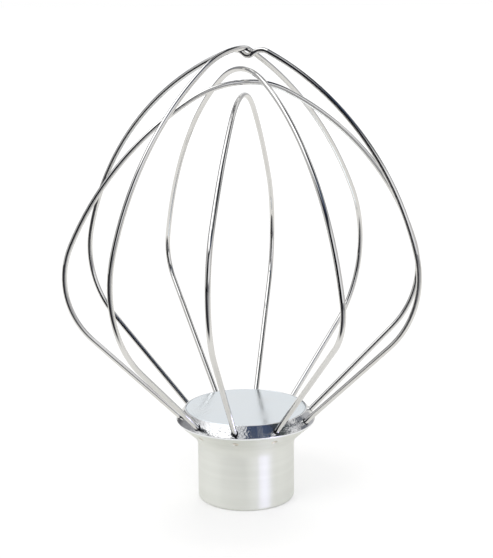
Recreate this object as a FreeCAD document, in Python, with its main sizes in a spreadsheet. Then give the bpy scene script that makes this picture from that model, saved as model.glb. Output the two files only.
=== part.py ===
import FreeCAD, Part
import math
import os
import Sketcher
from FreeCAD import Placement, Rotation, Vector

# Wire whip for a stand mixer.
# A turned aluminium hub stands on its open foot at the origin, with +Z up its axis.
# A flat cap disc closes the hub's flared head.
# Five bent wire loops spring from ten slanted holes in the flared rim.
# Lengths are in millimetres and angles in degrees.

SIZES = {
    # hub: straight skirt, flared flange, bevelled band and crown
    "skirt_radius": 15.9,
    "skirt_height": 18.0,
    "foot_round": 1.0,
    "foot_wall": 2.5,
    "foot_recess_depth": 3.0,
    "flange_sweep": 5.0,
    "flange_rise": 8.75,
    "lip_radius": 22.84,
    "lip_round": 0.35,
    "crown_rise": 3.65,
    "crown_rim": 0.35,
    # shaft bore, keyway for the cross pin and the chamber where the pin turns
    "bore_radius": 6.35,
    "bore_mouth": 0.6,
    "pin_slot_width": 5.2,
    "pin_reach": 4.3,
    "pin_sweep_gap": 1.0,
    "pin_slot_angle": 81.3,
    "pin_seat_angle": 100.0,
    "pin_seat_depth": 2.0,
    "chamber_depth": 8.7,
    # cap disc pressed into the crown
    "cap_radius": 19.75,
    "cap_thickness": 1.2,
    "cap_edge": 0.2,
    "cap_clearance": 0.05,
    # wire and its holes
    "wire_diameter": 1.7,
    "wire_clearance": 0.1,
    "wire_end_gap": 0.1,
    "wire_ends": 10,
    "wire_slant_angle": 44.5,
    "hole_ring_radius": 21.45,
    "hole_rise": 1.35,
    "hole_depth": 8.0,
    "hole_lead": 3.0,
    "ring_angle": 8.7,
    # punch marks under the flange that lock each wire
    "stake_inset": 1.15,
    "stake_radius": 1.25,
    "stake_depth": 0.65,
    # heights of the nested loops above the ring of holes
    "cage_height": 116.6,
    "nest_step": 4.1,
    "crossing_gap": 0.76,
    # each loop: widest radius of its sides, then the radii of its three bends,
    # with left and right as in the front view
    # dimpled loop, whose top dips where the crossing loop lies
    "dimple_radius": 2.2,
    "dimple_angle": 42.0,
    "dimple_shift": 1.85,
    "dimpled_reach": 59.4,
    "dimpled_belly": 31.0,
    "dimpled_shoulder_left": 84.6,
    "dimpled_shoulder_right": 91.9,
    "dimpled_crown_left": 4.6,
    "dimpled_crown_right": 4.9,
    # crossing loop, which lies in the dimple
    "crossing_shift": 1.0,
    "crossing_reach": 56.3,
    "crossing_belly": 38.9,
    "crossing_shoulder_left": 98.0,
    "crossing_shoulder_right": 121.0,
    "crossing_crown_left": 28.6,
    "crossing_crown_right": 4.0,
    # third loop
    "third_reach": 62.0,
    "third_belly": 15.5,
    "third_shoulder": 90.3,
    "third_crown": 32.6,
    # fourth loop
    "fourth_shift": 1.98,
    "fourth_reach": 57.6,
    "fourth_belly": 27.5,
    "fourth_shoulder_left": 102.8,
    "fourth_shoulder_right": 85.1,
    "fourth_crown_left": 34.8,
    "fourth_crown_right": 26.4,
    # innermost loop
    "inner_reach": 63.0,
    "inner_belly": 27.0,
    "inner_shoulder": 168.0,
    "inner_crown": 41.1,
}

# Share by which a swept wire's volume may differ from its path length times its section
VOLUME_SLACK = 0.01

os.makedirs("parts", exist_ok=True)
doc = FreeCAD.newDocument("wire_whip")

sheet = doc.addObject("Spreadsheet::Sheet", "sizes")
for row, (alias, value) in enumerate(SIZES.items(), start=1):
    sheet.set("A%d" % row, alias)
    sheet.set("B%d" % row, str(value))
    sheet.setAlias("B%d" % row, alias)
doc.recompute()


def size(alias):
    """Value of one named size."""
    return float(sheet.get(alias))


def cell(alias):
    """Reference to one named size, for use in an expression."""
    return "<<sizes>>." + alias


def sin(degrees):
    """Sine of an angle in degrees."""
    return math.sin(math.radians(degrees))


def cos(degrees):
    """Cosine of an angle in degrees."""
    return math.cos(math.radians(degrees))


# Heights and radii that several pieces share, as expressions in the named sizes
LIP_HEIGHT = "({} + {})".format(cell("skirt_height"), cell("flange_rise"))
CROWN_HEIGHT = "({} + {})".format(LIP_HEIGHT, cell("crown_rise"))
SEAT_HEIGHT = "({} - {})".format(CROWN_HEIGHT, cell("cap_thickness"))
WEB_HEIGHT = "({} - {})".format(SEAT_HEIGHT, cell("chamber_depth"))
HOLE_HEIGHT = "({} + {})".format(LIP_HEIGHT, cell("hole_rise"))
SEAT_RADIUS = "({} + {})".format(cell("cap_radius"), cell("cap_clearance"))
CROWN_RADIUS = "({} + {})".format(SEAT_RADIUS, cell("crown_rim"))
PIN_RADIUS = "({} + {})".format(cell("bore_radius"), cell("pin_reach"))
CHAMBER_RADIUS = "({} + {})".format(PIN_RADIUS, cell("pin_sweep_gap"))
RECESS_RADIUS = "({} - {})".format(cell("skirt_radius"), cell("foot_wall"))

lip_height = size("skirt_height") + size("flange_rise")
crown_height = lip_height + size("crown_rise")
seat_height = crown_height - size("cap_thickness")
web_height = seat_height - size("chamber_depth")
hole_height = lip_height + size("hole_rise")
seat_radius = size("cap_radius") + size("cap_clearance")
crown_radius = seat_radius + size("crown_rim")
pin_radius = size("bore_radius") + size("pin_reach")
chamber_radius = pin_radius + size("pin_sweep_gap")
recess_radius = size("skirt_radius") - size("foot_wall")


def origin_feature(body, role):
    """Origin plane or axis of a body."""
    return next(f for f in body.Origin.OriginFeatures if f.Role == role)


def new_sketch(body, name, role):
    """Sketch on one of the body's own origin planes."""
    sketch = body.newObject("Sketcher::SketchObject", name)
    sketch.AttachmentSupport = [(origin_feature(body, role), "")]
    sketch.MapMode = "FlatFace"
    return sketch


def constrain(sketch, kind, *items):
    """Adds a constraint whose size comes from the sheet."""
    expression = items[-1]
    index = sketch.addConstraint(Sketcher.Constraint(kind, *items[:-1]))
    sketch.setExpression("Constraints[%d]" % index, expression)


def relate(sketch, kind, *items):
    """Adds a constraint that has no size."""
    sketch.addConstraint(Sketcher.Constraint(kind, *items))


def arc_between(centre, radius, start, end):
    """Counter-clockwise arc from one angle to another, in degrees."""
    circle = Part.Circle(Vector(centre[0], centre[1], 0), Vector(0, 0, 1), radius)
    return Part.ArcOfCircle(circle, math.radians(start), math.radians(end))


def line_between(start, end):
    """Straight edge between two points of a sketch."""
    return Part.LineSegment(Vector(start[0], start[1], 0), Vector(end[0], end[1], 0))


# Flange outline: a cone runs tangent from the sweep above the skirt to the rounded lip,
# and a bevelled band runs tangent from the lip to the crown.
sweep_centre = (size("skirt_radius") + size("flange_sweep"), size("skirt_height"))
lip_centre = (size("lip_radius") - size("lip_round"), lip_height)
offset_x = sweep_centre[0] - lip_centre[0]
offset_z = sweep_centre[1] - lip_centre[1]
reach = math.hypot(offset_x, offset_z)
fold = math.degrees(math.asin((size("flange_sweep") + size("lip_round")) / reach))
cone_slope = math.degrees(math.atan2(offset_z, offset_x)) + 180.0 - fold
rise_x = crown_radius - lip_centre[0]
rise_z = crown_height - lip_centre[1]
lean = math.degrees(math.acos(size("lip_round") / math.hypot(rise_x, rise_z)))
band_normal = math.degrees(math.atan2(rise_z, rise_x)) - lean


def polar(centre, radius, angle):
    """Point at an angle on a circle."""
    return (centre[0] + radius * cos(angle), centre[1] + radius * sin(angle))


def pin_outline(body, name):
    """Outline of one arm of the cross pin, from inside the bore out to the pin's end."""
    sketch = new_sketch(body, name, "XY_Plane")
    half = size("pin_slot_width") / 2.0
    inner = size("bore_radius") / 2.0
    sketch.addGeometry([
        line_between((inner, -half), (pin_radius, -half)),
        line_between((pin_radius, -half), (pin_radius, half)),
        line_between((pin_radius, half), (inner, half)),
        line_between((inner, half), (inner, -half)),
    ], False)
    for index in range(4):
        relate(sketch, "Coincident", index, 2, (index + 1) % 4, 1)
    relate(sketch, "Horizontal", 0)
    relate(sketch, "Horizontal", 2)
    relate(sketch, "Vertical", 3)
    relate(sketch, "Symmetric", 1, 1, 1, 2, -1)
    constrain(sketch, "DistanceX", -1, 1, 1, 1, pin_radius, PIN_RADIUS)
    constrain(sketch, "DistanceY", 1, 1, 1, 2, 2.0 * half, cell("pin_slot_width"))
    constrain(sketch, "DistanceX", -1, 1, 3, 1, inner, cell("bore_radius") + " / 2")
    return sketch


def build_hub():
    """Turned hub: skirt, flange and crown around the shaft bore and the pin chamber."""
    body = doc.addObject("PartDesign::Body", "hub")
    body.Label = "hub"
    profile = new_sketch(body, "hub_profile", "XZ_Plane")
    foot_centre = (size("skirt_radius") - size("foot_round"), size("foot_round"))
    bore = size("bore_radius")
    mouth = size("bore_mouth")
    recess = size("foot_recess_depth")
    skirt = size("skirt_radius")
    cone_start = polar(sweep_centre, size("flange_sweep"), cone_slope + 90.0)
    cone_end = polar(lip_centre, size("lip_round"), cone_slope - 90.0)
    band_start = polar(lip_centre, size("lip_round"), band_normal)
    outline = [
        line_between((recess_radius, 0), (foot_centre[0], 0)),
        arc_between(foot_centre, size("foot_round"), 270, 360),
        line_between((skirt, size("foot_round")), (skirt, size("skirt_height"))),
        arc_between(sweep_centre, size("flange_sweep"), cone_slope + 90.0, 180.0),
        line_between(cone_start, cone_end),
        arc_between(lip_centre, size("lip_round"), cone_slope - 90.0, band_normal),
        line_between(band_start, (crown_radius, crown_height)),
        line_between((crown_radius, crown_height), (seat_radius, crown_height)),
        line_between((seat_radius, crown_height), (seat_radius, seat_height)),
        line_between((seat_radius, seat_height), (chamber_radius, seat_height)),
        line_between((chamber_radius, seat_height), (chamber_radius, web_height)),
        line_between((chamber_radius, web_height), (bore, web_height)),
        line_between((bore, web_height), (bore, recess + mouth)),
        line_between((bore, recess + mouth), (bore + mouth, recess)),
        line_between((bore + mouth, recess), (recess_radius, recess)),
        line_between((recess_radius, recess), (recess_radius, 0)),
    ]
    profile.addGeometry(outline, False)
    # round foot, sweep, cone, lip and band run smoothly into one another
    relate(profile, "Tangent", 0, 2, 1, 1)
    relate(profile, "Tangent", 1, 2, 2, 1)
    relate(profile, "Tangent", 2, 2, 3, 2)
    relate(profile, "Tangent", 3, 1, 4, 1)
    relate(profile, "Tangent", 4, 2, 5, 1)
    relate(profile, "Tangent", 5, 2, 6, 1)
    for index in range(6, 15):
        relate(profile, "Coincident", index, 2, index + 1, 1)
    relate(profile, "Coincident", 15, 2, 0, 1)
    for index in (0, 7, 9, 11, 14):
        relate(profile, "Horizontal", index)
    for index in (2, 8, 10, 12, 15):
        relate(profile, "Vertical", index)
    relate(profile, "PointOnObject", 0, 1, -1)
    constrain(profile, "DistanceX", -1, 1, 0, 1, recess_radius, RECESS_RADIUS)
    constrain(profile, "Radius", 1, size("foot_round"), cell("foot_round"))
    constrain(profile, "DistanceX", -1, 1, 2, 1, skirt, cell("skirt_radius"))
    constrain(profile, "DistanceY", -1, 1, 2, 2, size("skirt_height"), cell("skirt_height"))
    constrain(profile, "Radius", 3, size("flange_sweep"), cell("flange_sweep"))
    constrain(profile, "Radius", 5, size("lip_round"), cell("lip_round"))
    lip_x = "{} - {}".format(cell("lip_radius"), cell("lip_round"))
    constrain(profile, "DistanceX", -1, 1, 5, 3, lip_centre[0], lip_x)
    constrain(profile, "DistanceY", -1, 1, 5, 3, lip_height, LIP_HEIGHT)
    constrain(profile, "DistanceX", -1, 1, 6, 2, crown_radius, CROWN_RADIUS)
    constrain(profile, "DistanceY", -1, 1, 6, 2, crown_height, CROWN_HEIGHT)
    constrain(profile, "DistanceX", -1, 1, 8, 1, seat_radius, SEAT_RADIUS)
    constrain(profile, "DistanceY", -1, 1, 8, 2, seat_height, SEAT_HEIGHT)
    constrain(profile, "DistanceX", -1, 1, 10, 1, chamber_radius, CHAMBER_RADIUS)
    constrain(profile, "DistanceY", -1, 1, 10, 2, web_height, WEB_HEIGHT)
    constrain(profile, "DistanceX", -1, 1, 12, 1, bore, cell("bore_radius"))
    constrain(profile, "DistanceY", 13, 2, 13, 1, mouth, cell("bore_mouth"))
    constrain(profile, "DistanceX", 13, 1, 13, 2, mouth, cell("bore_mouth"))
    constrain(profile, "DistanceY", -1, 1, 14, 1, recess, cell("foot_recess_depth"))

    turned = body.newObject("PartDesign::Revolution", "turned_hub")
    turned.Profile = profile
    turned.ReferenceAxis = (profile, ["V_Axis"])
    turned.Angle = 360.0
    body.Tip = turned
    doc.recompute()
    turned_volume = body.Shape.Volume

    # keyway: the shaft's cross pin slides up through it into the chamber
    slot = pin_outline(body, "pin_slot_outline")
    slot.AttachmentOffset = Placement(Vector(), Rotation(Vector(0, 0, 1), size("pin_slot_angle")))
    slot_cut = body.newObject("PartDesign::Pocket", "pin_slot")
    slot_cut.Profile = slot
    slot_cut.Reversed = True
    slot_cut.Length = web_height + size("pin_seat_depth")
    slot_cut.setExpression("Length", "{} + {}".format(WEB_HEIGHT, cell("pin_seat_depth")))
    body.Tip = slot_cut
    doc.recompute()
    slotted_volume = body.Shape.Volume

    # seat in the chamber floor that the pin drops into after a part turn
    seat = pin_outline(body, "pin_seat_outline")
    seat_turn = size("pin_slot_angle") + size("pin_seat_angle")
    seat.AttachmentOffset = Placement(
        Vector(0, 0, web_height), Rotation(Vector(0, 0, 1), seat_turn))
    seat.setExpression("AttachmentOffset.Base.z", WEB_HEIGHT)
    seat_cut = body.newObject("PartDesign::Pocket", "pin_seat")
    seat_cut.Profile = seat
    seat_cut.Length = size("pin_seat_depth")
    seat_cut.setExpression("Length", cell("pin_seat_depth"))
    body.Tip = seat_cut
    doc.recompute()
    seated_volume = body.Shape.Volume

    # slanted wire holes, square to the wires that leave them
    slant = size("wire_slant_angle")
    hole = new_sketch(body, "wire_hole_outline", "XY_Plane")
    hole_radius = size("wire_diameter") / 2.0 + size("wire_clearance")
    hole.addGeometry(Part.Circle(Vector(), Vector(0, 0, 1), hole_radius), False)
    relate(hole, "Coincident", 0, 3, -1, 1)
    HOLE_RADIUS = "{} / 2 + {}".format(cell("wire_diameter"), cell("wire_clearance"))
    constrain(hole, "Radius", 0, hole_radius, HOLE_RADIUS)
    lead = size("hole_lead")
    mouth_x = size("hole_ring_radius") + lead * cos(slant)
    mouth_z = hole_height + lead * sin(slant)
    hole.AttachmentOffset = Placement(
        Vector(mouth_x, 0, mouth_z), Rotation(Vector(0, 1, 0), 90.0 - slant))
    hole_cut = body.newObject("PartDesign::Pocket", "wire_hole")
    hole_cut.Profile = hole
    hole_cut.Length = size("hole_depth") + lead
    hole_cut.setExpression("Length", "{} + {}".format(cell("hole_depth"), cell("hole_lead")))
    body.Tip = hole_cut
    doc.recompute()
    drilled_volume = body.Shape.Volume
    holes = body.newObject("PartDesign::PolarPattern", "wire_holes")
    holes.Originals = [hole_cut]
    holes.Axis = (origin_feature(body, "Z_Axis"), [""])
    holes.Angle = 360.0
    holes.Occurrences = int(size("wire_ends"))
    holes.setExpression("Occurrences", cell("wire_ends"))
    body.Tip = holes
    doc.recompute()
    ringed_volume = body.Shape.Volume

    # punch mark on the flange's under cone beneath each wire
    stake_x = size("hole_ring_radius") - size("stake_inset")
    cone_x, cone_z = cone_end
    stake_z = cone_z - (cone_x - stake_x) * math.tan(math.radians(cone_slope))
    stand_off = size("stake_radius") - size("stake_depth")
    punch = body.newObject("PartDesign::SubtractiveSphere", "stake_mark")
    punch.Radius = size("stake_radius")
    punch.setExpression("Radius", cell("stake_radius"))
    punch.AttachmentSupport = [(origin_feature(body, "XY_Plane"), "")]
    punch.MapMode = "FlatFace"
    punch.AttachmentOffset = Placement(
        Vector(stake_x + stand_off * sin(cone_slope), 0, stake_z - stand_off * cos(cone_slope)),
        Rotation())
    body.Tip = punch
    doc.recompute()
    punched_volume = body.Shape.Volume
    stakes = body.newObject("PartDesign::PolarPattern", "stake_marks")
    stakes.Originals = [punch]
    stakes.Axis = (origin_feature(body, "Z_Axis"), [""])
    stakes.Angle = 360.0
    stakes.Occurrences = int(size("wire_ends"))
    stakes.setExpression("Occurrences", cell("wire_ends"))
    body.Tip = stakes
    doc.recompute()
    volumes = (turned_volume, slotted_volume, seated_volume, drilled_volume,
               ringed_volume, punched_volume, body.Shape.Volume)
    for before, after in zip(volumes, volumes[1:]):
        if not after < before:
            raise RuntimeError("a cut in the hub removed nothing: %s" % (volumes,))
    body.Placement = Placement(Vector(), Rotation(Vector(0, 0, 1), size("ring_angle")))
    return body


def build_cap():
    """Flat disc that closes the pin chamber, seated in the crown."""
    body = doc.addObject("PartDesign::Body", "cap_disc")
    body.Label = "cap_disc"
    outline = new_sketch(body, "cap_outline", "XY_Plane")
    circle = Part.Circle(Vector(), Vector(0, 0, 1), size("cap_radius"))
    outline.addGeometry(circle, False)
    relate(outline, "Coincident", 0, 3, -1, 1)
    constrain(outline, "Radius", 0, size("cap_radius"), cell("cap_radius"))
    outline.AttachmentOffset = Placement(Vector(0, 0, seat_height), Rotation())
    outline.setExpression("AttachmentOffset.Base.z", SEAT_HEIGHT)
    disc = body.newObject("PartDesign::Pad", "cap_plate")
    disc.Profile = outline
    disc.Length = size("cap_thickness")
    disc.setExpression("Length", cell("cap_thickness"))
    body.Tip = disc
    doc.recompute()
    top_edges = []
    for number, edge in enumerate(disc.Shape.Edges, start=1):
        if edge.BoundBox.ZMin > crown_height - 0.5 * size("cap_thickness"):
            top_edges.append("Edge%d" % number)
    edge = body.newObject("PartDesign::Chamfer", "cap_rim")
    edge.Base = (disc, top_edges)
    edge.Size = size("cap_edge")
    edge.setExpression("Size", cell("cap_edge"))
    body.Tip = edge
    doc.recompute()
    body.Placement = Placement(Vector(), Rotation())
    return body


class Side:
    """One side of a loop: a straight run from its hole, then belly, shoulder and crown bends."""

    def __init__(self, reach, belly, shoulder, crown):
        self.reach = reach
        self.belly = belly
        self.shoulder = shoulder
        self.crown = crown

    def solve(self, height, shift, dip_radius, dip_angle):
        """Bend centres and headings for bends that run smoothly into one another."""
        slant = size("wire_slant_angle")
        belly = size(self.belly)
        shoulder = size(self.shoulder)
        crown = size(self.crown)
        belly_x = size(self.reach) - belly
        self.straight = (belly_x + belly * sin(slant) - size("hole_ring_radius")) / cos(slant)
        belly_z = hole_height + self.straight * sin(slant) + belly * cos(slant)
        crown_x = shift + (dip_radius + crown) * sin(dip_angle)
        crown_z = height + dip_radius - (dip_radius + crown) * cos(dip_angle)
        # the shoulder bend touches the belly bend and the crown bend from outside
        away_x = crown_x - belly_x
        away_z = crown_z - belly_z
        away = math.hypot(away_x, away_z)
        to_belly = shoulder - belly
        to_crown = shoulder - crown
        along = (to_belly ** 2 - to_crown ** 2 + away ** 2) / (2.0 * away)
        across = math.sqrt(to_belly ** 2 - along ** 2)
        shoulder_x = belly_x + (away_x * along - away_z * across) / away
        shoulder_z = belly_z + (away_z * along + away_x * across) / away
        self.turn = 90.0 + math.degrees(
            math.atan2(belly_z - shoulder_z, belly_x - shoulder_x))
        self.top = 90.0 + math.degrees(
            math.atan2(crown_z - shoulder_z, crown_x - shoulder_x))

    def trace(self, sign, dip_angle):
        """Line and arcs of this side, from the bottom of its hole to the loop's top."""
        slant = size("wire_slant_angle")
        bury = size("hole_depth") - size("wire_end_gap")
        x = size("hole_ring_radius")
        z = hole_height
        start = (x - bury * cos(slant), z - bury * sin(slant))
        x = x + self.straight * cos(slant)
        z = z + self.straight * sin(slant)
        pieces = [("line", start, (x, z), 0.0, 0.0, 0.0)]
        heading = slant
        legs = (
            (size(self.belly), self.turn),
            (size(self.shoulder), self.top),
            (size(self.crown), 180.0 + dip_angle),
        )
        for radius, end in legs:
            centre = (x - radius * sin(heading), z + radius * cos(heading))
            x = centre[0] + radius * sin(end)
            z = centre[1] - radius * cos(end)
            pieces.append(("arc", centre, (x, z), radius, heading - 90.0, end - 90.0))
            heading = end
        if sign > 0:
            return pieces
        mirrored = []
        for kind, first, last, radius, low, high in pieces:
            first = (-first[0], first[1])
            last = (-last[0], last[1])
            mirrored.append((kind, first, last, radius, 180.0 - high, 180.0 - low))
        return mirrored


def add_side(path, side, sign, dip_angle):
    """Draws one side into the path sketch and binds it; returns its geometry numbers."""
    pieces = side.trace(sign, dip_angle)
    numbers = []
    for kind, first, last, radius, low, high in pieces:
        if kind == "line":
            numbers.append(path.addGeometry(line_between(first, last), False))
        else:
            numbers.append(path.addGeometry(arc_between(first, radius, low, high), False))
    line, belly, shoulder, crown = numbers
    # an arc's first point is its lower one on the right side and its upper one on the left
    low_end, high_end = (1, 2) if sign > 0 else (2, 1)
    relate(path, "Tangent", line, 2, belly, low_end)
    relate(path, "Tangent", belly, high_end, shoulder, low_end)
    relate(path, "Tangent", shoulder, high_end, crown, low_end)
    bury = "({} - {})".format(cell("hole_depth"), cell("wire_end_gap"))
    start_x = "{} - {} * cos({} * 1 deg)".format(
        cell("hole_ring_radius"), bury, cell("wire_slant_angle"))
    start_z = "{} - {} * sin({} * 1 deg)".format(HOLE_HEIGHT, bury, cell("wire_slant_angle"))
    slant = "{} * 1 deg".format(cell("wire_slant_angle"))
    x, z = pieces[0][1]
    if sign > 0:
        constrain(path, "DistanceX", -1, 1, line, 1, abs(x), start_x)
    else:
        constrain(path, "DistanceX", line, 1, -1, 1, abs(x), start_x)
    constrain(path, "DistanceY", -1, 1, line, 1, z, start_z)
    if sign > 0:
        constrain(path, "Angle", -1, 1, line, 1, math.radians(size("wire_slant_angle")), slant)
    else:
        constrain(path, "Angle", line, 1, -1, 2, math.radians(size("wire_slant_angle")), slant)
    constrain(path, "Radius", belly, size(side.belly), cell(side.belly))
    belly_x = size(side.reach) - size(side.belly)
    BELLY_X = "{} - {}".format(cell(side.reach), cell(side.belly))
    if sign > 0:
        constrain(path, "DistanceX", -1, 1, belly, 3, belly_x, BELLY_X)
    else:
        constrain(path, "DistanceX", belly, 3, -1, 1, belly_x, BELLY_X)
    constrain(path, "Radius", shoulder, size(side.shoulder), cell(side.shoulder))
    constrain(path, "Radius", crown, size(side.crown), cell(side.crown))
    return numbers, high_end


def build_loop(name, left, right, top_height, TOP_HEIGHT, shift, SHIFT, dip):
    """Wire loop swept along a flat path; its left side lies on +X before it is turned."""
    body = doc.addObject("PartDesign::Body", name)
    body.Label = name
    dip_radius = size("dimple_radius") if dip else 0.0
    dip_angle = size("dimple_angle") if dip else 0.0
    left.solve(top_height, shift, dip_radius, dip_angle)
    right.solve(top_height, -shift, dip_radius, dip_angle)
    path = new_sketch(body, name + "_path", "XZ_Plane")
    left_numbers, left_top = add_side(path, left, 1, dip_angle)
    right_numbers, right_top = add_side(path, right, -1, dip_angle)
    if dip:
        # the top of the loop dips between two humps
        centre = (shift, top_height + dip_radius)
        bowl = path.addGeometry(
            arc_between(centre, dip_radius, 270.0 - dip_angle, 270.0 + dip_angle), False)
        relate(path, "Tangent", left_numbers[3], left_top, bowl, 2)
        relate(path, "Tangent", right_numbers[3], right_top, bowl, 1)
        relate(path, "Horizontal", bowl, 1, bowl, 2)
        constrain(path, "Radius", bowl, dip_radius, cell("dimple_radius"))
        constrain(path, "Angle", bowl, math.radians(2.0 * dip_angle),
                  "2 * {} * 1 deg".format(cell("dimple_angle")))
        constrain(path, "DistanceY", -1, 1, bowl, 3, centre[1],
                  "{} + {}".format(TOP_HEIGHT, cell("dimple_radius")))
        constrain(path, "DistanceX", bowl, 3, -1, 1, -shift, SHIFT)
        order = left_numbers + [bowl] + right_numbers[::-1]
    else:
        top = (left_numbers[3], left_top)
        relate(path, "Coincident", top[0], top[1], right_numbers[3], right_top)
        relate(path, "Vertical", top[0], 3, top[0], top[1])
        relate(path, "Vertical", right_numbers[3], 3, right_numbers[3], right_top)
        constrain(path, "DistanceY", -1, 1, top[0], top[1], top_height, TOP_HEIGHT)
        if shift > 0:
            constrain(path, "DistanceX", -1, 1, top[0], top[1], shift, SHIFT)
        elif shift < 0:
            constrain(path, "DistanceX", top[0], top[1], -1, 1, -shift, SHIFT)
        else:
            relate(path, "PointOnObject", top[0], top[1], -2)
        order = left_numbers + right_numbers[::-1]
    section = new_sketch(body, name + "_section", "XY_Plane")
    wire_radius = size("wire_diameter") / 2.0
    section.addGeometry(Part.Circle(Vector(), Vector(0, 0, 1), wire_radius), False)
    relate(section, "Coincident", 0, 3, -1, 1)
    constrain(section, "Radius", 0, wire_radius, cell("wire_diameter") + " / 2")
    start = left.trace(1, dip_angle)[0][1]
    section.AttachmentOffset = Placement(
        Vector(start[0], 0, start[1]), Rotation(Vector(0, 1, 0), 90.0 - size("wire_slant_angle")))
    doc.recompute()
    wire = body.newObject("PartDesign::AdditivePipe", name + "_wire")
    wire.Profile = section
    wire.Spine = (path, ["Edge%d" % (number + 1) for number in order])
    body.Tip = wire
    doc.recompute()
    length = path.Shape.Length
    expected = math.pi * wire_radius ** 2 * length
    if abs(body.Shape.Volume - expected) > VOLUME_SLACK * expected:
        raise RuntimeError("%s: volume %.1f, expected %.1f" % (name, body.Shape.Volume, expected))
    return body


def turned(steps):
    """Turn about the hub's axis that brings a loop's left side to a hole of the ring."""
    angle = size("ring_angle") + steps * 360.0 / size("wire_ends")
    return Placement(Vector(), Rotation(Vector(0, 0, 1), angle))


hub = build_hub()
cap = build_cap()

# The dimpled loop carries the crossing loop; the others nest below at equal steps.
DIP_HEIGHT = "({} + {})".format(HOLE_HEIGHT, cell("cage_height"))
dip_height = hole_height + size("cage_height")
crossing_height = dip_height + size("wire_diameter") + size("crossing_gap")
CROSSING_HEIGHT = "({} + {} + {})".format(
    DIP_HEIGHT, cell("wire_diameter"), cell("crossing_gap"))

dimpled = build_loop(
    "loop_dimpled",
    Side("dimpled_reach", "dimpled_belly", "dimpled_shoulder_left", "dimpled_crown_left"),
    Side("dimpled_reach", "dimpled_belly", "dimpled_shoulder_right", "dimpled_crown_right"),
    dip_height, DIP_HEIGHT, -size("dimple_shift"), cell("dimple_shift"), True)
dimpled.Placement = turned(4)

crossing = build_loop(
    "loop_crossing",
    Side("crossing_reach", "crossing_belly", "crossing_shoulder_left", "crossing_crown_left"),
    Side("crossing_reach", "crossing_belly", "crossing_shoulder_right", "crossing_crown_right"),
    crossing_height, CROSSING_HEIGHT, size("crossing_shift"), cell("crossing_shift"), False)
# it leans about a chord between its holes until it lies over the dimple
dimple_at = turned(4).multVec(Vector(-size("dimple_shift"), 0, 0))
sideways = turned(6).inverse().multVec(dimple_at).y
# the chord runs through the middle of the holes' depth, which keeps the wire clear of them
chord_height = hole_height - 0.5 * size("hole_depth") * sin(size("wire_slant_angle"))
lean_angle = math.degrees(math.atan2(sideways, crossing_height - chord_height))
chord = Vector(0, 0, chord_height)
lean_turn = Placement(chord, Rotation()).multiply(
    Placement(Vector(), Rotation(Vector(1, 0, 0), -lean_angle)))
lean_turn = lean_turn.multiply(Placement(chord.negative(), Rotation()))
crossing.Placement = turned(6).multiply(lean_turn)

third = build_loop(
    "loop_third",
    Side("third_reach", "third_belly", "third_shoulder", "third_crown"),
    Side("third_reach", "third_belly", "third_shoulder", "third_crown"),
    dip_height - size("nest_step"), "({} - {})".format(DIP_HEIGHT, cell("nest_step")),
    0.0, None, False)
third.Placement = turned(3)

fourth = build_loop(
    "loop_fourth",
    Side("fourth_reach", "fourth_belly", "fourth_shoulder_left", "fourth_crown_left"),
    Side("fourth_reach", "fourth_belly", "fourth_shoulder_right", "fourth_crown_right"),
    dip_height - 2 * size("nest_step"), "({} - 2 * {})".format(DIP_HEIGHT, cell("nest_step")),
    -size("fourth_shift"), cell("fourth_shift"), False)
fourth.Placement = turned(5)

inner = build_loop(
    "loop_inner",
    Side("inner_reach", "inner_belly", "inner_shoulder", "inner_crown"),
    Side("inner_reach", "inner_belly", "inner_shoulder", "inner_crown"),
    dip_height - 3 * size("nest_step"), "({} - 3 * {})".format(DIP_HEIGHT, cell("nest_step")),
    0.0, None, False)
inner.Placement = turned(7)

doc.recompute()
for item in doc.Objects:
    if "Invalid" in item.State or "Error" in item.State:
        raise RuntimeError("%s failed: %s" % (item.Name, item.State))

pieces = [hub, cap, dimpled, crossing, third, fourth, inner]
for piece in pieces:
    shape = piece.Shape
    if shape.isNull() or not shape.isValid() or len(shape.Solids) != 1:
        raise RuntimeError("%s has no sound solid" % piece.Label)
for piece in pieces:
    piece.Shape.exportStep("parts/%s.step" % piece.Label)
    box = piece.Shape.BoundBox
    print("%-14s volume %9.1f  x %.2f..%.2f y %.2f..%.2f z %.2f..%.2f" % (
        piece.Label, piece.Shape.Volume, box.XMin, box.XMax, box.YMin, box.YMax, box.ZMin, box.ZMax))
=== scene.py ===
"""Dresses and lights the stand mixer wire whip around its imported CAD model."""

import logging
import math
from dataclasses import dataclass, field
from enum import Enum

import bpy
from mathutils import Matrix, Vector


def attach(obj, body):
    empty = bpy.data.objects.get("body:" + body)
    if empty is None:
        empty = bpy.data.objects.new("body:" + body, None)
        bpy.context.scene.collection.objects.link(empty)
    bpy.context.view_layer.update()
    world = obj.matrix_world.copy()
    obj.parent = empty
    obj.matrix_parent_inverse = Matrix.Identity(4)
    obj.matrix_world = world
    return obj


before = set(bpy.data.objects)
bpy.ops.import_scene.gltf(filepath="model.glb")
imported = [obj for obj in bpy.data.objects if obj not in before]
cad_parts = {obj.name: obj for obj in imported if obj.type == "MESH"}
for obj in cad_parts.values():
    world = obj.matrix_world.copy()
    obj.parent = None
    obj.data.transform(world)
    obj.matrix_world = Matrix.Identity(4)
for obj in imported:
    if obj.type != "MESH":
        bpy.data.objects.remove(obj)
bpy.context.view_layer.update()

Colour = tuple[float, float, float, float]
Tone = tuple[float, float, float]
Point = tuple[float, float, float]
Span = tuple[float, float]
Socket = bpy.types.NodeSocket
Axes = tuple[Socket, Socket, Socket]
Value = float | Socket
Paint = Colour | Socket

LOG = logging.getLogger("wire_whip")
MM = 0.001

IMAGE_WIDTH_PX = 493
IMAGE_HEIGHT_PX = 558

WIRE_ENDS = 10
FIRST_WIRE_TURN = 8.7
WHITE: Colour = (1.0, 1.0, 1.0, 1.0)


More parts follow.
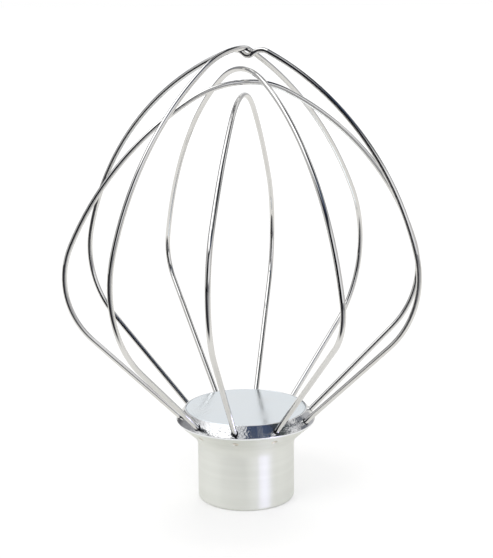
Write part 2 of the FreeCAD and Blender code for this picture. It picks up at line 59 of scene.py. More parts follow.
class Metal(Enum):
    """Named finishes that a piece of the whip can take."""

    DRAWN_WIRE = "drawn_wire"
    TURNED_HUB = "turned_hub"
    POLISHED_CAP = "polished_cap"
    # Near-black rim finish, a painted shadow round each wire.
    STAKED_RIM = "staked_rim"


class MixKind(Enum):
    """What a Mix node mixes, with the numbers of its factor, its two inputs and its output."""

    FLOAT = (0, 2, 3, 0)
    RGBA = (0, 6, 7, 2)


@dataclass(frozen=True)
class NodeBuilder:
    """Small helper that adds and links nodes in one node tree."""

    tree: bpy.types.NodeTree

    def add(self, kind: str, **settings: object) -> bpy.types.Node:
        """Adds one node and sets its plain properties.

        Args:
            kind: Blender's type name of the node.
            **settings: Properties to set on the node.

        Returns:
            The new node.
        """
        node = self.tree.nodes.new(kind)
        for name, value in settings.items():
            setattr(node, name, value)
        return node

    def link(self, source: Socket, target: Socket) -> None:
        """Joins an output socket to an input socket."""
        self.tree.links.new(source, target)

    def feed(self, target: Socket, value: Value | Paint) -> None:
        """Sets a socket to a number or colour, or links it when given a socket.

        Args:
            target: The input socket.
            value: A number, a colour or an output socket.
        """
        if isinstance(value, Socket):
            self.link(value, target)
        else:
            target.default_value = value

    def math(self, operation: str, *values: Value) -> Socket:
        """Adds a Math node.

        Args:
            operation: Blender's name of the operation.
            *values: Numbers or sockets for its inputs, in order.

        Returns:
            The node's output socket.
        """
        node = self.add("ShaderNodeMath", operation=operation)
        for socket, value in zip(node.inputs, values):
            self.feed(socket, value)
        return node.outputs[0]

    def length(self, first: Socket, second: Socket) -> Socket:
        """Works out the straight distance across two offsets at right angles.

        Args:
            first: Offset one way.
            second: Offset the other way.

        Returns:
            The distance's socket.
        """
        squares = [self.math("MULTIPLY", offset, offset) for offset in (first, second)]
        return self.math("SQRT", self.math("ADD", *squares))

    def ramp(self, value: Value, low: float, high: float,
             start: Value = 0.0, end: Value = 1.0) -> Socket:
        """Smoothly maps one range of values to another and clamps the result.

        Args:
            value: The number or socket to map.
            low: Input value that gives the start value.
            high: Input value that gives the end value.
            start: Output at the low end.
            end: Output at the high end.

        Returns:
            The mapped value's socket.
        """
        node = self.add("ShaderNodeMapRange", interpolation_type="SMOOTHSTEP")
        self.feed(node.inputs["Value"], value)
        node.inputs["From Min"].default_value = low
        node.inputs["From Max"].default_value = high
        self.feed(node.inputs["To Min"], start)
        self.feed(node.inputs["To Max"], end)
        return node.outputs["Result"]

    def fade(self, mask: Socket, start: Value, end: Value) -> Socket:
        """Moves smoothly from one value to another as a mask goes from 0 to 1."""
        return self.ramp(mask, 0.0, 1.0, start, end)

    def mix_colour(self, factor: Value, first: Paint, second: Paint) -> Socket:
        """Mixes two colours, with the factor as the share of the second."""
        return self._mix(MixKind.RGBA, factor, first, second)

    def mix_value(self, factor: Value, first: Value, second: Value) -> Socket:
        """Mixes two numbers, with the factor as the share of the second."""
        return self._mix(MixKind.FLOAT, factor, first, second)

    def _mix(self, kind: MixKind, *values: Value | Paint) -> Socket:
        """Adds a Mix node.

        Args:
            kind: What the node mixes.
            *values: The factor and the two things to mix.

        Returns:
            The node's output socket.
        """
        *inputs, output = kind.value
        node = self.add("ShaderNodeMix", data_type=kind.name)
        for number, value in zip(inputs, values):
            self.feed(node.inputs[number], value)
        return node.outputs[output]

    def coordinates(self, kind: str = "Object") -> Socket:
        """Gives the place that is being shaded, in one of Blender's kinds of coordinates."""
        return self.add("ShaderNodeTexCoord").outputs[kind]

    def split(self, place: Socket) -> Axes:
        """Splits a place or a direction into X, Y and Z.

        Args:
            place: The socket to split.

        Returns:
            The three sockets, in order.
        """
        node = self.add("ShaderNodeSeparateXYZ")
        self.link(place, node.inputs[0])
        return tuple(node.outputs)

    def noise(self, place: Socket, scale: Value, detail: float,
              roughness: float = 0.5) -> Socket:
        """Adds a cloudy pattern of values round one half.

        Args:
            place: Where the pattern is read.
            scale: How fine the pattern is, as a number or a socket.
            detail: How many finer layers it has.
            roughness: How strong the finer layers are.

        Returns:
            The pattern's socket.
        """
        node = self.add("ShaderNodeTexNoise")
        self.link(place, node.inputs["Vector"])
        self.feed(node.inputs["Scale"], scale)
        node.inputs["Detail"].default_value = detail
        node.inputs["Roughness"].default_value = roughness
        return node.outputs["Fac"]

    def bump(self, height: Socket, depth: float, strength: float = 1.0,
             under: Socket | None = None) -> Socket:
        """Adds one layer of relief.

        Args:
            height: Relief from 0 to 1.
            depth: Depth of the relief in metres.
            strength: Share of the relief that shows.
            under: Normal of the layer beneath, if there is one.

        Returns:
            The new normal's socket.
        """
        node = self.add("ShaderNodeBump")
        node.inputs["Strength"].default_value = strength
        node.inputs["Distance"].default_value = depth
        self.link(height, node.inputs["Height"])
        if under is not None:
            self.link(under, node.inputs["Normal"])
        return node.outputs["Normal"]


@dataclass
class SharedEffects:
    """Shader node groups that more than one metal uses, and the sizes of their patterns."""

    ring_detail: float = 3.0
    streaks_per_metre: float = 320.0
    streak_detail: float = 2.0
    smudge_detail: float = 4.0
    smudge_roughness: float = 0.55
    smudge_span: Span = (0.35, 0.75)
    scratch_stretch: tuple[float, float, float] = (1.0, 0.9, 0.08)
    scratch_turn: tuple[float, float, float] = (0.3, 0.5, 0.2)
    scratch_detail: float = 2.0
    scratch_span: Span = (0.66, 0.74)
    turning: bpy.types.NodeTree = field(init=False)
    handling: bpy.types.NodeTree = field(init=False)

    def __post_init__(self) -> None:
        """Builds every group once."""
        self.turning = self._turning_rings()
        self.handling = self._handling_marks()

    @staticmethod
    def _group(name: str, inputs: dict[str, float], outputs: tuple[str, ...]) -> tuple[
            bpy.types.NodeTree, NodeBuilder, bpy.types.Node, bpy.types.Node]:
        """Makes an empty group with named float sockets.

        Args:
            name: Name of the group.
            inputs: Input names with their usual values.
            outputs: Output names.

        Returns:
            The group, a builder for it, its input node and its output node.
        """
        group = bpy.data.node_groups.new(name, "ShaderNodeTree")
        for label, value in inputs.items():
            socket = group.interface.new_socket(
                name=label, in_out="INPUT", socket_type="NodeSocketFloat")
            socket.default_value = value
        for label in outputs:
            group.interface.new_socket(
                name=label, in_out="OUTPUT", socket_type="NodeSocketFloat")
        build = NodeBuilder(group)
        return group, build, build.add("NodeGroupInput"), build.add("NodeGroupOutput")

    def _turning_rings(self) -> bpy.types.NodeTree:
        """Fine rings that a lathe tool leaves around the Z axis.

        Returns:
            The group; its Height is the relief of the rings and its Streak a slow tone change.
        """
        group, build, given, result = self._group(
            "lathe_rings", {"Rings per metre": 4000.0, "Radial share": 1.0},
            ("Height", "Streak"))
        x, y, z = build.split(build.coordinates())
        outwards = build.math("MULTIPLY", build.length(x, y), given.outputs["Radial share"])
        along = build.math("ADD", outwards, z)
        patterns = (("Height", given.outputs["Rings per metre"], self.ring_detail),
                    ("Streak", self.streaks_per_metre, self.streak_detail))
        for name, rate, detail in patterns:
            noise = build.add("ShaderNodeTexNoise", noise_dimensions="1D")
            build.link(build.math("MULTIPLY", along, rate), noise.inputs["W"])
            noise.inputs["Scale"].default_value = 1.0
            noise.inputs["Detail"].default_value = detail
            build.link(noise.outputs["Fac"], result.inputs[name])
        return group

    def _handling_marks(self) -> bpy.types.NodeTree:
        """Soft smudges and hairline scratches from handling.

        Returns:
            The group; Smudge and Scratch are masks from 0 to 1.
        """
        group, build, given, result = self._group(
            "handling_marks", {"Smudge scale": 90.0, "Scratch scale": 500.0},
            ("Smudge", "Scratch"))
        place = build.coordinates()
        stretched = build.add("ShaderNodeMapping")
        build.link(place, stretched.inputs["Vector"])
        stretched.inputs["Scale"].default_value = self.scratch_stretch
        stretched.inputs["Rotation"].default_value = self.scratch_turn
        smudge = build.noise(place, given.outputs["Smudge scale"], self.smudge_detail,
                             self.smudge_roughness)
        scratch = build.noise(stretched.outputs["Vector"], given.outputs["Scratch scale"],
                              self.scratch_detail)
        build.link(build.ramp(smudge, *self.smudge_span), result.inputs["Smudge"])
        build.link(build.ramp(scratch, *self.scratch_span), result.inputs["Scratch"])
        return group

    def place(self, build: NodeBuilder, group: bpy.types.NodeTree,
              **values: float) -> bpy.types.Node:
        """Puts a group into a material with its own values.

        Args:
            build: Builder of the material's tree.
            group: The group to place.
            **values: Input names, with underscores for spaces, and their values.

        Returns:
            The group's node.
        """
        node = build.add("ShaderNodeGroup", node_tree=group)
        for name, value in values.items():
            node.inputs[name.replace("_", " ")].default_value = value
        return node


def new_material(name: str) -> tuple[bpy.types.Material, NodeBuilder, bpy.types.Node]:
    """Makes a material that holds only a Principled shader and its output.

    Args:
        name: Name of the material.

    Returns:
        The material, a builder for its tree and the shader node.
    """
    material = bpy.data.materials.new(name)
    material.use_nodes = True
    material.node_tree.nodes.clear()
    build = NodeBuilder(material.node_tree)
    shader = build.add("ShaderNodeBsdfPrincipled")
    output = build.add("ShaderNodeOutputMaterial")
    build.link(shader.outputs["BSDF"], output.inputs["Surface"])
    return material, build, shader


@dataclass(frozen=True)
class DrawnWireFinish:
    """Bright drawn and polished stainless wire."""

    colour: Colour = (0.86, 0.86, 0.855, 1.0)
    smudged_colour: Colour = (0.81, 0.805, 0.79, 1.0)
    roughness: float = 0.015
    smudged_roughness: float = 0.06
    smudge_scale: float = 70.0
    scratch_scale: float = 900.0
    scratch_depth: float = 0.02 * MM
    scratch_strength: float = 0.05

    def make(self, effects: SharedEffects) -> bpy.types.Material:
        """Builds the material.

        Args:
            effects: Shared node groups.

        Returns:
            The wire's material.
        """
        material, build, shader = new_material(Metal.DRAWN_WIRE.value)
        marks = effects.place(build, effects.handling, Smudge_scale=self.smudge_scale,
                              Scratch_scale=self.scratch_scale)
        smudge = marks.outputs["Smudge"]
        build.link(build.mix_colour(smudge, self.colour, self.smudged_colour),
                   shader.inputs["Base Color"])
        build.link(build.fade(smudge, self.roughness, self.smudged_roughness),
                   shader.inputs["Roughness"])
        build.link(build.bump(marks.outputs["Scratch"], self.scratch_depth,
                              self.scratch_strength),
                   shader.inputs["Normal"])
        shader.inputs["Metallic"].default_value = 1.0
        return material


@dataclass(frozen=True)
class TurnedHubFinish:
    """Aluminium with a satin turned skirt and a polished bevel above the lip, a painted highlight
    along the lip's edge and painted shade in the upper halves of the punch marks under the
    flange.

    Heights and distances are in metres, from the open foot and from the shaft's axis. A
    metallic share under 1 gives the turned faces the whitish look of plain aluminium.
    """

    skirt_colour: Colour = (0.94, 0.96, 0.92, 1.0)
    skirt_streak: Colour = (0.915, 0.935, 0.895, 1.0)
    streak_span: Span = (0.35, 0.65)
    skirt_metallic: float = 0.55
    skirt_roughness: float = 0.34
    smudged_skirt_roughness: float = 0.39
    flange_metallic: float = 0.80
    flange_span: Span = (21.5 * MM, 24.5 * MM)
    # Painted highlight: a thin near-white band at the lip's edge, barely metallic so that it
    # shows white.
    painted_lip_highlight: Colour = (0.96, 0.98, 1.0, 1.0)
    lip_highlight_metallic: float = 0.10
    lip_highlight_span: Span = (26.38 * MM, 26.55 * MM)
    bevel_colour: Colour = (0.88, 0.89, 0.90, 1.0)
    bevel_roughness: float = 0.06
    smudged_bevel_roughness: float = 0.14
    bevel_span: Span = (26.85 * MM, 27.05 * MM)
    mark_count: int = WIRE_ENDS
    first_mark: float = FIRST_WIRE_TURN
    mark_from_axis: float = 20.30 * MM
    mark_height: float = 24.25 * MM
    mark_slant: float = 1.47
    mark_rim: Span = (0.80 * MM, 1.15 * MM)
    painted_shade_fade: Span = (-0.25 * MM, 0.35 * MM)
    # Punch marks: a warm cream tone, with painted shade in dark brown over their upper halves.
    mark_colour: Colour = (0.93, 0.87, 0.75, 1.0)
    painted_mark_shade: Colour = (0.36, 0.30, 0.24, 1.0)
    mark_strength: float = 0.75
    stretch: float = 0.92
    stretch_turn: float = 0.25
    smudge_scale: float = 60.0
    rings_per_metre: float = 7000.0
    radial_share: float = 0.7
    ring_depth: float = 0.006 * MM
    ripple_depth: float = 0.075 * MM
    ripple_scale: float = 1250.0
    ripple_detail: float = 1.8

    def make(self, effects: SharedEffects) -> bpy.types.Material:
        """Builds the material.

        Args:
            effects: Shared node groups.

        Returns:
            The hub's material.
        """
        material, build, shader = new_material(Metal.TURNED_HUB.value)
        place = build.coordinates()
        axes = build.split(place)
        height = axes[2]
        # Mask of the painted highlight along the lip's edge.
        edge = build.ramp(height, *self.lip_highlight_span)
        polished = build.ramp(height, *self.bevel_span)
        rings = effects.place(build, effects.turning, Rings_per_metre=self.rings_per_metre,
                              Radial_share=self.radial_share)
        marks = effects.place(build, effects.handling, Smudge_scale=self.smudge_scale)
        skirt = self._skirt_tone(build, axes, rings.outputs["Streak"])
        # Paints the highlight along the lip's edge.
        skirt = build.mix_colour(edge, skirt, self.painted_lip_highlight)
        build.link(build.mix_colour(polished, skirt, self.bevel_colour),
                   shader.inputs["Base Color"])
        metal = build.ramp(height, *self.flange_span, self.skirt_metallic, self.flange_metallic)
        # The lip's painted highlight loses its metallic share.
        metal = build.fade(edge, metal, self.lip_highlight_metallic)
        build.link(build.fade(polished, metal, 1.0), shader.inputs["Metallic"])
        build.link(self._roughness(build, marks.outputs["Smudge"], polished),
                   shader.inputs["Roughness"])
        shader.inputs["Anisotropic"].default_value = self.stretch
        shader.inputs["Anisotropic Rotation"].default_value = self.stretch_turn
        ripple = build.noise(place, self.ripple_scale, self.ripple_detail)
        turned = build.bump(rings.outputs["Height"], self.ring_depth)
        rippled = build.bump(build.math("MULTIPLY", ripple, polished), self.ripple_depth,
                             under=turned)
        build.link(rippled, shader.inputs["Normal"])
        return material

    def _skirt_tone(self, build: NodeBuilder, axes: Axes, streak: Socket) -> Socket:
        """Colours the satin metal, with its turning streaks and its punch marks, which have
        painted shade in their upper halves over a warm cream tone.

        Args:
            build: Builder of the material's tree.
            axes: X, Y and Z of the place.
            streak: Slow tone change along the turning.

        Returns:
            The colour's socket.
        """
        plain = build.mix_colour(build.ramp(streak, *self.streak_span),
                                 self.skirt_colour, self.skirt_streak)
        mark, shaded = self._punch_marks(build, axes)
        # Painted shade: the upper half of each punch mark turns dark brown.
        mark_with_painted_shade = build.mix_colour(shaded, self.mark_colour, self.painted_mark_shade)
        return build.mix_colour(build.math("MULTIPLY", mark, self.mark_strength), plain, mark_with_painted_shade)

    def _punch_marks(self, build: NodeBuilder, axes: Axes) -> tuple[Socket, Socket]:
        """Masks the punch marks under the flange, and their upper halves, where the colour paints
        shade.

        Args:
            build: Builder of the material's tree.
            axes: X, Y and Z of the place.

        Returns:
            The mask of the marks and the mask of their upper halves.
        """
        x, y, z = axes
        half_step = math.pi / self.mark_count
        turn = build.math("SUBTRACT", build.math("ARCTAN2", y, x),
                          math.radians(self.first_mark))
        across = build.math("MULTIPLY", build.math("WRAP", turn, half_step, -half_step),
                            self.mark_from_axis)
        above = build.math("SUBTRACT", z, self.mark_height)
        away = build.length(across, build.math("MULTIPLY", above, self.mark_slant))
        return build.ramp(away, *self.mark_rim, 1.0, 0.0), build.ramp(above, *self.painted_shade_fade)

    def _roughness(self, build: NodeBuilder, smudge: Socket, polished: Socket) -> Socket:
        """Goes from the satin skirt to the polished bevel, both duller where smudged.

        Args:
            build: Builder of the material's tree.
            smudge: Mask of the smudges.
            polished: Mask of the bevel.

        Returns:
            The roughness socket.
        """
        satin = build.fade(smudge, self.skirt_roughness, self.smudged_skirt_roughness)
        bright = build.fade(smudge, self.bevel_roughness, self.smudged_bevel_roughness)
        return build.mix_value(polished, satin, bright)


@dataclass(frozen=True)
class PolishedCapFinish:
    """Flat polished disc with a cool tone."""

    colour: Colour = (0.88, 0.94, 0.985, 1.0)
    hazed_colour: Colour = (0.90, 0.95, 0.985, 1.0)
    roughness: float = 0.15
    hazed_roughness: float = 0.22
    haze_scale: float = 110.0
    rings_per_metre: float = 3000.0
    ring_depth: float = 0.01 * MM
    ring_strength: float = 0.05

    def make(self, effects: SharedEffects) -> bpy.types.Material:
        """Builds the material.

        Args:
            effects: Shared node groups.

        Returns:
            The cap's material.
        """
        material, build, shader = new_material(Metal.POLISHED_CAP.value)
        rings = effects.place(build, effects.turning, Rings_per_metre=self.rings_per_metre)
        marks = effects.place(build, effects.handling, Smudge_scale=self.haze_scale)
        haze = marks.outputs["Smudge"]
        build.link(build.mix_colour(haze, self.colour, self.hazed_colour),
                   shader.inputs["Base Color"])
        build.link(build.fade(haze, self.roughness, self.hazed_roughness),
                   shader.inputs["Roughness"])
        build.link(build.bump(rings.outputs["Height"], self.ring_depth, self.ring_strength),
                   shader.inputs["Normal"])
        shader.inputs["Metallic"].default_value = 1.0
        return material


@dataclass(frozen=True)
class PaintedShadowRimFinish:
    """Dulled metal pushed up round each wire where it is punched fast, near black as a painted
    shadow of the gap round the wire.
    """

    # Near black: painted shadow of the gap between wire and hole.
    colour: Colour = (0.06, 0.062, 0.075, 1.0)
    roughness: float = 0.34
    smudged_roughness: float = 0.46
    smudge_scale: float = 800.0

    def make(self, effects: SharedEffects) -> bpy.types.Material:
        """Builds the material.

        Args:
            effects: Shared node groups.

        Returns:
            The rim's material.
        """
        material, build, shader = new_material(Metal.STAKED_RIM.value)
        marks = effects.place(build, effects.handling, Smudge_scale=self.smudge_scale)
        build.link(build.fade(marks.outputs["Smudge"], self.roughness, self.smudged_roughness),
                   shader.inputs["Roughness"])
        shader.inputs["Base Color"].default_value = self.colour
        shader.inputs["Metallic"].default_value = 1.0
        return material


@dataclass
class HoleShadowRims:
    """Low raised rims round the ten wire holes in the bevel, dark as a painted shadow of the gap
    round each wire, in millimetres and degrees.
    """

    name: str = "hole_rim_%d"
    count: int = WIRE_ENDS
    first_turn: float = FIRST_WIRE_TURN
    mouth_radius: float = 21.71
    mouth_height: float = 28.36
    bevel_rise: float = 37.3
    inner_radius: float = 0.97
    outer_radius: float = 1.19
    sunk: float = 0.07
    proud: float = 0.06
    round_width: float = 0.03
    round_segments: int = 2
    smooth_angle: float = 40.0
    vertices: int = 40

    def build(self, material: bpy.types.Material) -> None:
        """Models one rim, copies it, and sets the rims on the bevel round the hub.

        Args:
            material: Finish of every rim.
        """
        first = self._model()
        first.data.materials.append(material)
        rims = [first]
        for number in range(2, self.count + 1):
            rim = first.copy()
            rim.data = first.data.copy()
            rim.name = self.name % number
            bpy.context.scene.collection.objects.link(rim)
            rims.append(rim)
        for step, rim in enumerate(rims):
            self._set_down(rim, self.first_turn + step * 360.0 / self.count)
            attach(rim, "root")
            LOG.info("%s rides on the hub and wears %s", rim.name, material.name)

    def _model(self) -> bpy.types.Object:
        """Extrudes a circle into a low ring with softened edges, flat on the ground plane.

        Returns:
            The ring.
        """
        bpy.ops.object.select_all(action="DESELECT")
        bpy.ops.mesh.primitive_circle_add(vertices=self.vertices,
                                          radius=self.inner_radius * MM, fill_type="NOTHING")
        rim = bpy.context.active_object
        rim.name = self.name % 1
        widen = self.outer_radius / self.inner_radius
        bpy.ops.object.mode_set(mode="EDIT")
        bpy.ops.mesh.select_all(action="SELECT")
        bpy.ops.mesh.extrude_edges_move()
        bpy.ops.transform.resize(value=(widen, widen, widen))
        bpy.ops.mesh.select_all(action="SELECT")
        bpy.ops.mesh.extrude_region_move(
            TRANSFORM_OT_translate={"value": (0.0, 0.0, (self.sunk + self.proud) * MM)})
        bpy.ops.mesh.select_all(action="SELECT")
        bpy.ops.transform.translate(value=(0.0, 0.0, -self.sunk * MM))
        bpy.ops.mesh.normals_make_consistent(inside=False)
        bpy.ops.object.mode_set(mode="OBJECT")
        soften = rim.modifiers.new("softened_edges", "BEVEL")
        soften.width = self.round_width * MM
        soften.segments = self.round_segments
        bpy.ops.object.modifier_apply(modifier=soften.name)
        bpy.ops.object.shade_smooth_by_angle(angle=math.radians(self.smooth_angle))
        return rim

    def _set_down(self, rim: bpy.types.Object, turn: float) -> None:
        """Tips a rim onto the bevel at one hole and applies its place to the mesh.

        Args:
            rim: The rim, still flat at the origin.
            turn: The hole's angle round the hub, in degrees.
        """
        bpy.ops.object.select_all(action="DESELECT")
        rim.select_set(True)
        bpy.context.view_layer.objects.active = rim
        tip = Matrix.Rotation(math.radians(90.0 - self.bevel_rise), 4, "Y")
        out = Matrix.Translation(Vector((self.mouth_radius, 0.0, self.mouth_height)) * MM)
        rim.matrix_world = Matrix.Rotation(math.radians(turn), 4, "Z") @ out @ tip
        bpy.ops.object.transform_apply(location=True, rotation=True, scale=True)


@dataclass
class Whip:
    """The whip's CAD pieces and the finish that each one takes."""

    hub: str = "hub"
    cap: str = "cap_disc"
    loops: tuple[str, ...] = (
        "loop_dimpled", "loop_crossing", "loop_third", "loop_fourth", "loop_inner")
    effects: SharedEffects = field(default_factory=SharedEffects)

    def dress(self) -> None:
        """Gives every CAD piece its material and adds the rims of the wire holes, whose dark
        finish paints the shadow round each wire.
        """
        wire = DrawnWireFinish().make(self.effects)
        for name in self.loops:
            self._finish(name, wire)
        self._finish(self.hub, TurnedHubFinish().make(self.effects))
        self._finish(self.cap, PolishedCapFinish().make(self.effects))
        # The hole rims' dark finish is a painted shadow round each wire.
        HoleShadowRims().build(PaintedShadowRimFinish().make(self.effects))

    @staticmethod
    def _finish(name: str, material: bpy.types.Material) -> None:
        """Puts one material in all slots of a CAD piece.

        Args:
            name: The CAD node.
            material: Its new material.
        """
        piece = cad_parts[name]
        if not piece.material_slots:
            piece.data.materials.append(material)
        for slot in piece.material_slots:
            slot.material = material
        LOG.info("%s wears %s", name, material.name)


@dataclass
class PhotoCamera:
    """Camera at the photograph's place, in millimetres and degrees."""

    aim: Point = (0.62, 0.0, 73.44)
    distance: float = 435.6
    elevation: float = 12.16
    roll: float = -0.47
    focal_px: float = 1349.6
    sensor_width: float = 36.0
    near_clip: float = 10.0

    def build(self) -> None:
        """Adds the camera and makes it the scene's own."""
        tilt = math.radians(self.elevation)
        turn = math.radians(self.roll)
        ahead = Vector((0.0, math.cos(tilt), -math.sin(tilt)))
        upright = Vector((0.0, math.sin(tilt), math.cos(tilt)))
        level = Vector((1.0, 0.0, 0.0))
        right = level * math.cos(turn) + upright * math.sin(turn)
        up = upright * math.cos(turn) - level * math.sin(turn)
        eye = (Vector(self.aim) - ahead * self.distance) * MM
        data = bpy.data.cameras.new("photo_camera")
        data.sensor_width = self.sensor_width
        data.sensor_fit = "AUTO"
        data.lens = self.focal_px / max(IMAGE_WIDTH_PX, IMAGE_HEIGHT_PX) * self.sensor_width
        data.clip_start = self.near_clip * MM
        camera = bpy.data.objects.new("photo_camera", data)
        camera.matrix_world = Matrix((
            (right.x, up.x, -ahead.x, eye.x),
            (right.y, up.y, -ahead.y, eye.y),
            (right.z, up.z, -ahead.z, eye.z),
            (0.0, 0.0, 0.0, 1.0)))
        bpy.context.scene.collection.objects.link(camera)
        bpy.context.scene.camera = camera


@dataclass(frozen=True)
class Panel:
    """Soft-edged stretch of the surroundings that the metal mirrors.

    Turns run from the camera's side, positive to its right, and rises from the horizon,
    both in degrees.
    """

    tone: Tone
    turns: Span
    rises: Span
    edge: float = 8.0


@dataclass(frozen=True)
class Softbox:
    """Rectangular lamp that faces the whip, in metres and watts.

    It lights the whole scene and no metal mirrors it. One that names pieces is only a
    reflection in those, and lights nothing.
    """

    name: str
    place: Point
    size: tuple[float, float]
    watts: float
    colour: Tone = (1.0, 1.0, 1.0)
    mirrored_in: tuple[str, ...] = ()
    aim: Point = (0.0, 0.0, 0.07)

    def hang(self) -> None:
        """Adds the lamp to the scene."""
        data = bpy.data.lights.new(self.name, "AREA")
        data.shape = "RECTANGLE"
        data.size, data.size_y = self.size
        data.energy = self.watts
        data.color = self.colour
        lamp = bpy.data.objects.new(self.name, data)
        lamp.location = self.place
        towards = Vector(self.aim) - Vector(self.place)
        lamp.rotation_euler = towards.to_track_quat("-Z", "Y").to_euler()
        lamp.visible_glossy = bool(self.mirrored_in)
        lamp.visible_diffuse = not self.mirrored_in
        if self.mirrored_in:
            mirrors = bpy.data.collections.new(self.name + "_mirrors")
            for name in self.mirrored_in:
                mirrors.objects.link(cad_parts[name])
            lamp.light_linking.receiver_collection = mirrors
        bpy.context.scene.collection.objects.link(lamp)


@dataclass
class Studio:
    """Pale floor, soft lamps and the surroundings that the metal mirrors, in metres.

    Each panel lies over the panels before it. The lift is the floor's own light for the
    camera, which makes the floor look white there.
    """

    floor_half: float = 12.0
    floor_colour: Colour = (0.80, 0.79, 0.765, 1.0)
    floor_roughness: float = 0.9
    floor_specular: float = 0.1
    floor_lift: Span = (0.245, 0.50)
    lift_colour: Colour = (0.97, 1.0, 1.09, 1.0)
    lift_reach: Span = (0.45, 1.60)
    sheet_edge: float = -0.108
    sheet_slant: float = 0.25
    sheet_blend: float = 0.02
    beyond_left: Colour = (0.025, 0.025, 0.03, 1.0)
    beyond_right: Colour = (0.36, 0.36, 0.37, 1.0)
    room_level: float = 0.75
    room_tone: Tone = (0.80, 0.80, 0.80)
    panels: tuple[Panel, ...] = (
        Panel((0.28, 0.28, 0.29), (-168.0, -74.0), (-90.0, 34.0), 10.0),
        Panel((0.50, 0.50, 0.50), (-120.0, -73.0), (-90.0, 20.0)),
        Panel((0.12, 0.12, 0.13), (-158.0, -136.0), (-8.0, 14.0), 6.0),
        Panel((0.24, 0.24, 0.26), (4.0, 62.0), (-90.0, 10.0)),
        Panel((0.86, 0.86, 0.88), (10.0, 70.0), (8.0, 37.0)),
        Panel((0.55, 0.54, 0.54), (66.0, 128.0), (-90.0, 30.0)),
        Panel((0.45, 0.45, 0.46), (128.0, 168.0), (-20.0, 22.0)),
        Panel((0.16, 0.17, 0.19), (106.0, 128.0), (13.0, 29.0), 6.0),
        Panel((0.05, 0.06, 0.06), (56.0, 104.0), (36.0, 52.0), 6.0),
        Panel((0.015, 0.015, 0.02), (56.0, 166.0), (50.0, 86.0)),
        Panel((0.84, 0.85, 0.87), (-38.0, 4.0), (49.0, 78.0)),
        Panel((0.28, 0.29, 0.31), (-40.0, 0.0), (61.0, 82.0), 6.0),
        Panel((0.020, 0.024, 0.036), (1.0, 64.0), (41.0, 74.0)),
        Panel((0.060, 0.084, 0.150), (1.0, 62.0), (47.0, 61.0), 6.0),
        Panel((0.20, 0.21, 0.23), (-180.0, 180.0), (80.0, 120.0)),
        Panel((0.85, 0.85, 0.86), (-116.0, -56.0), (31.0, 44.0)),
        Panel((1.60, 1.60, 1.60), (-146.0, -36.0), (42.0, 80.0)),
        Panel((0.16, 0.16, 0.17), (156.0, 200.0), (40.0, 60.0)),
        Panel((1.10, 1.10, 1.10), (158.0, 177.0), (62.0, 84.0), 6.0),
        Panel((0.05, 0.05, 0.06), (-200.0, -156.0), (38.0, 120.0)),
        Panel((0.003, 0.004, 0.006), (-66.0, 4.0), (-90.0, 27.0), 6.0),
        Panel((0.07, 0.07, 0.08), (-62.0, -30.0), (24.0, 44.0), 6.0),
        Panel((0.010, 0.012, 0.018), (-38.0, 8.0), (22.0, 49.0), 6.0),
    )
    softboxes: tuple[Softbox, ...] = (
        Softbox("key_softbox", (-0.75, -0.85, 1.15), (0.80, 0.80), 5.0),
        Softbox("fill_softbox", (0.20, -1.10, 0.80), (0.60, 0.60), 2.0),
        Softbox("back_softbox", (0.15, 1.10, 1.05), (0.90, 0.90), 4.0),
        Softbox("skirt_strip", (0.826, -0.870, 0.29), (0.56, 0.50), 3.4,
                (0.67, 0.63, 1.0), ("hub",)),
        Softbox("cap_overhead", (0.0, 0.30, 1.30), (1.80, 1.80), 6.0,
                (0.95, 0.98, 1.0), ("cap_disc",)),
        Softbox("cap_front", (0.0, -0.90, 0.66), (1.90, 0.90), 2.3,
                (0.95, 0.98, 1.0), ("cap_disc",)),
    )

    def build(self) -> None:
        """Makes the floor, the lamps and the world."""
        self._floor()
        for softbox in self.softboxes:
            softbox.hang()
        self._world()

    def _floor(self) -> None:
        """Lays the floor, which is no part of the whip."""
        bpy.ops.object.select_all(action="DESELECT")
        bpy.ops.mesh.primitive_plane_add(size=2.0 * self.floor_half)
        floor = bpy.context.active_object
        floor.name = "studio_floor"
        floor.data.materials.append(self._sheet())

    def _sheet(self) -> bpy.types.Material:
        """Makes a pale sheet that looks white to the camera and keeps its shadow.

        Mirrored in the metal, the sheet ends in front of the whip.

        Returns:
            The floor's material.
        """
        material, build, shader = new_material("studio_floor")
        side, depth, _ = build.split(build.coordinates())
        path = build.add("ShaderNodeLightPath")
        beyond = build.mix_colour(build.ramp(side, 0.0, 2.0 * self.sheet_blend),
                                  self.beyond_left, self.beyond_right)
        ahead = build.math("ADD", depth, build.math("MULTIPLY", side, self.sheet_slant))
        past_edge = build.ramp(ahead, self.sheet_edge - self.sheet_blend,
                               self.sheet_edge + self.sheet_blend, 1.0, 0.0)
        mirrored_past = build.math("MULTIPLY", past_edge, path.outputs["Is Glossy Ray"])
        build.link(build.mix_colour(mirrored_past, self.floor_colour, beyond),
                   shader.inputs["Base Color"])
        shader.inputs["Roughness"].default_value = self.floor_roughness
        shader.inputs["Specular IOR Level"].default_value = self.floor_specular
        lift = build.ramp(build.length(side, depth), *self.lift_reach, *self.floor_lift)
        shader.inputs["Emission Color"].default_value = self.lift_colour
        build.link(build.math("MULTIPLY", path.outputs["Is Camera Ray"], lift),
                   shader.inputs["Emission Strength"])
        return material

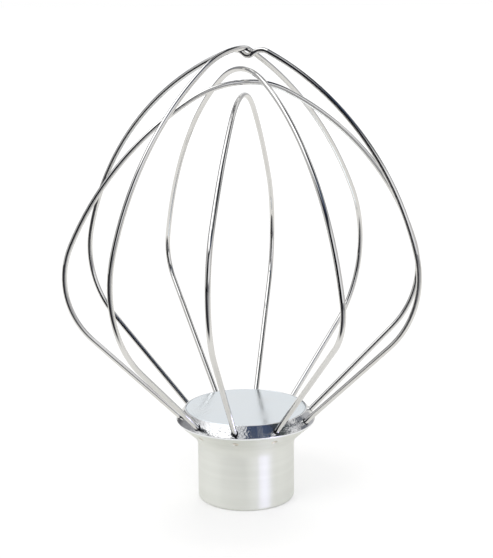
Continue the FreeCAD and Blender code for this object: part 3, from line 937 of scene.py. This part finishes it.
    def _world(self) -> None:
        """Builds white surroundings with the panels and dark gaps that polished metal mirrors."""
        world = bpy.data.worlds.new("studio_room")
        world.use_nodes = True
        world.node_tree.nodes.clear()
        bpy.context.scene.world = world
        build = NodeBuilder(world.node_tree)
        x, y, z = build.split(build.coordinates("Generated"))
        turn = build.math("DEGREES", build.math("ARCTAN2", x, build.math("MULTIPLY", y, -1.0)))
        rise = build.math("DEGREES", build.math("ARCSINE", z))
        room = (*self.room_tone, 1.0)
        for panel in self.panels:
            mask = build.math("MULTIPLY", self._within(build, turn, panel.turns, panel.edge),
                              self._within(build, rise, panel.rises, panel.edge))
            room = build.mix_colour(mask, room, (*panel.tone, 1.0))
        path = build.add("ShaderNodeLightPath")
        white = self._background(build, WHITE, 1.0)
        ambient = self._background(build, WHITE, self.room_level)
        mirrored = self._background(build, room, 1.0)
        lit = self._choose(build, path.outputs["Is Glossy Ray"], ambient, mirrored)
        seen = self._choose(build, path.outputs["Is Camera Ray"], lit, white)
        output = build.add("ShaderNodeOutputWorld")
        build.link(seen, output.inputs["Surface"])

    @staticmethod
    def _within(build: NodeBuilder, value: Socket, span: Span, edge: float) -> Socket:
        """Masks the values within a span, softly at both ends.

        Args:
            build: Builder of the world's tree.
            value: The angle to test, in degrees.
            span: Lower and upper end.
            edge: Width of each soft end.

        Returns:
            The mask's socket.
        """
        half = edge / 2.0
        low, high = span
        return build.math("MULTIPLY", build.ramp(value, low - half, low + half),
                          build.ramp(value, high - half, high + half, 1.0, 0.0))

    @staticmethod
    def _background(build: NodeBuilder, colour: Paint, strength: float) -> Socket:
        """Adds one Background shader.

        Args:
            build: Builder of the world's tree.
            colour: A colour or a socket.
            strength: Its brightness.

        Returns:
            The shader's socket.
        """
        node = build.add("ShaderNodeBackground")
        build.feed(node.inputs["Color"], colour)
        node.inputs["Strength"].default_value = strength
        return node.outputs[0]

    @staticmethod
    def _choose(build: NodeBuilder, factor: Socket, first: Socket, second: Socket) -> Socket:
        """Picks between two shaders.

        Args:
            build: Builder of the world's tree.
            factor: Share of the second shader.
            first: First shader.
            second: Second shader.

        Returns:
            The chosen shader's socket.
        """
        node = build.add("ShaderNodeMixShader")
        for socket, source in zip(node.inputs, (factor, first, second)):
            build.link(source, socket)
        return node.outputs[0]


def main() -> None:
    """Builds the dressed whip, the studio and the camera."""
    logging.basicConfig(level=logging.INFO)
    bpy.ops.object.select_all(action="DESELECT")
    bpy.context.scene.view_settings.view_transform = "Standard"
    Whip().dress()
    Studio().build()
    PhotoCamera().build()


if __name__ == "__main__":
    main()
